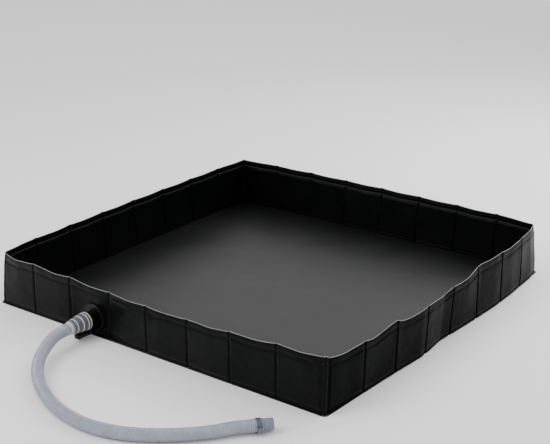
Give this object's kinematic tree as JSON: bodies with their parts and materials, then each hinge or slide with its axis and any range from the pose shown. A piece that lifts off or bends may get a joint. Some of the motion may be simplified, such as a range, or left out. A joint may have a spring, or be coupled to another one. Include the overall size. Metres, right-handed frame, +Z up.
{
  "type": "portable waste tote",
  "caption": "Open square folding tray of coated cloth with stiffened walls that catches waste water, with a drain valve and a clear drain hose.",
  "frame": {"origin": "middle of the floor's underside, on the ground", "axes": "+Z up, +X along the drain wall from its left end to its right end, +Y from the drain wall to the back wall"},
  "size_m": [1.108, 1.5058, 0.15],
  "materials": {
    "wall_cloth": "satin black PVC-coated cloth",
    "floor_cloth": "smooth satin black PVC-coated cloth",
    "board": "grey plastic board",
    "black_plastic": "satin black moulding",
    "rubber": "matt black",
    "seat_plastic": "white, slippery",
    "brass": "polished",
    "steel": "rolled and zinc plated",
    "clear_hose": "clear plastic with a faint lavender tint"
  },
  "bodies": {
    "tray": {"floor_sheet": "floor_cloth", "front_wall_sleeve": "wall_cloth", "front_wall_board_1": "board", "front_wall_board_2": "board", "front_wall_board_3": "board", "front_wall_board_4": "board", "front_wall_board_5": "board", "front_wall_board_6": "board", "front_wall_board_7": "board", "front_wall_board_8": "board", "drain_flange": "black_plastic", "drain_gasket": "rubber", "drain_backnut": "black_plastic", "valve_body": "black_plastic", "valve_seat_inner": "seat_plastic", "valve_seat_outer": "seat_plastic", "hose_tail": "black_plastic", "hose_cuff": "clear_hose", "hose_tube": "clear_hose", "clamp_band": "steel", "end_spigot": "clear_hose"},
    "left_link_1": {"left_link_1_sleeve": "wall_cloth", "left_link_1_board_1": "board", "left_link_1_board_2": "board"},
    "left_link_2": {"left_link_2_sleeve": "wall_cloth", "left_link_2_board_1": "board", "left_link_2_board_2": "board"},
    "left_link_3": {"left_link_3_sleeve": "wall_cloth", "left_link_3_board_1": "board", "left_link_3_board_2": "board"},
    "left_link_4": {"left_link_4_sleeve": "wall_cloth", "left_link_4_board_1": "board", "left_link_4_board_2": "board"},
    "right_link_1": {"right_link_1_sleeve": "wall_cloth", "right_link_1_board_1": "board", "right_link_1_board_2": "board"},
    "right_link_2": {"right_link_2_sleeve": "wall_cloth", "right_link_2_board_1": "board", "right_link_2_board_2": "board"},
    "right_link_3": {"right_link_3_sleeve": "wall_cloth", "right_link_3_board_1": "board", "right_link_3_board_2": "board"},
    "right_link_4": {"right_link_4_sleeve": "wall_cloth", "right_link_4_board_1": "board", "right_link_4_board_2": "board"},
    "back_wall": {"back_wall_sleeve": "wall_cloth", "back_wall_board_1": "board", "back_wall_board_2": "board", "back_wall_board_3": "board", "back_wall_board_4": "board", "back_wall_board_5": "board", "back_wall_board_6": "board", "back_wall_board_7": "board", "back_wall_board_8": "board"},
    "valve_handle": {"valve_handle": "black_plastic", "valve_stem": "brass", "valve_ball": "brass", "handle_screw": "steel"},
    "clamp_screw": {"clamp_screw": "steel"}
  },
  "joints": [
    {"name": "fold", "type": "hinge", "parent": "tray", "child": "left_link_1", "pos_m": [-0.5443, -0.5443, 0.0012], "axis": [0, 0, -1], "range_deg": [0, 87]},
    {"name": "left_crease_2", "type": "hinge", "parent": "left_link_1", "child": "left_link_2", "pos_m": [-0.5505, -0.2737, 0.0012], "axis": [0, 0, 1], "range_deg": [0, 174]},
    {"name": "left_crease_3", "type": "hinge", "parent": "left_link_2", "child": "left_link_3", "pos_m": [-0.5443, 0, 0.0012], "axis": [0, 0, -1], "range_deg": [0, 174]},
    {"name": "left_crease_4", "type": "hinge", "parent": "left_link_3", "child": "left_link_4", "pos_m": [-0.5505, 0.2737, 0.0012], "axis": [0, 0, 1], "range_deg": [0, 174]},
    {"name": "back_wall_corner", "type": "hinge", "parent": "left_link_4", "child": "back_wall", "pos_m": [-0.5443, 0.5443, 0.0012], "axis": [0, 0, -1], "range_deg": [0, 87]},
    {"name": "right_crease_1", "type": "hinge", "parent": "tray", "child": "right_link_1", "pos_m": [0.5443, -0.5443, 0.0012], "axis": [0, 0, 1], "range_deg": [0, 87]},
    {"name": "right_crease_2", "type": "hinge", "parent": "right_link_1", "child": "right_link_2", "pos_m": [0.5505, -0.2737, 0.0012], "axis": [0, 0, -1], "range_deg": [0, 174]},
    {"name": "right_crease_3", "type": "hinge", "parent": "right_link_2", "child": "right_link_3", "pos_m": [0.5443, 0, 0.0012], "axis": [0, 0, 1], "range_deg": [0, 174]},
    {"name": "right_crease_4", "type": "hinge", "parent": "right_link_3", "child": "right_link_4", "pos_m": [0.5505, 0.2737, 0.0012], "axis": [0, 0, -1], "range_deg": [0, 174]},
    {"name": "valve_turn", "type": "hinge", "parent": "tray", "child": "valve_handle", "pos_m": [-0.19625, -0.5686, 0.008], "axis": [0, 0, 1], "range_deg": [0, 90]},
    {"name": "clamp_screw_turn", "type": "hinge", "parent": "tray", "child": "clamp_screw", "pos_m": [0.48999, -0.7229, 0.01623], "axis": [-0.0652, 0.0579, -0.9962], "continuous": true}
  ],
  "couplings": [
    {"joint": "left_crease_2", "follows": "fold", "ratio": 2},
    {"joint": "left_crease_3", "follows": "fold", "ratio": 2},
    {"joint": "left_crease_4", "follows": "fold", "ratio": 2},
    {"joint": "back_wall_corner", "follows": "fold", "ratio": 1},
    {"joint": "right_crease_1", "follows": "fold", "ratio": 1},
    {"joint": "right_crease_2", "follows": "fold", "ratio": 2},
    {"joint": "right_crease_3", "follows": "fold", "ratio": 2},
    {"joint": "right_crease_4", "follows": "fold", "ratio": 2}
  ]
}
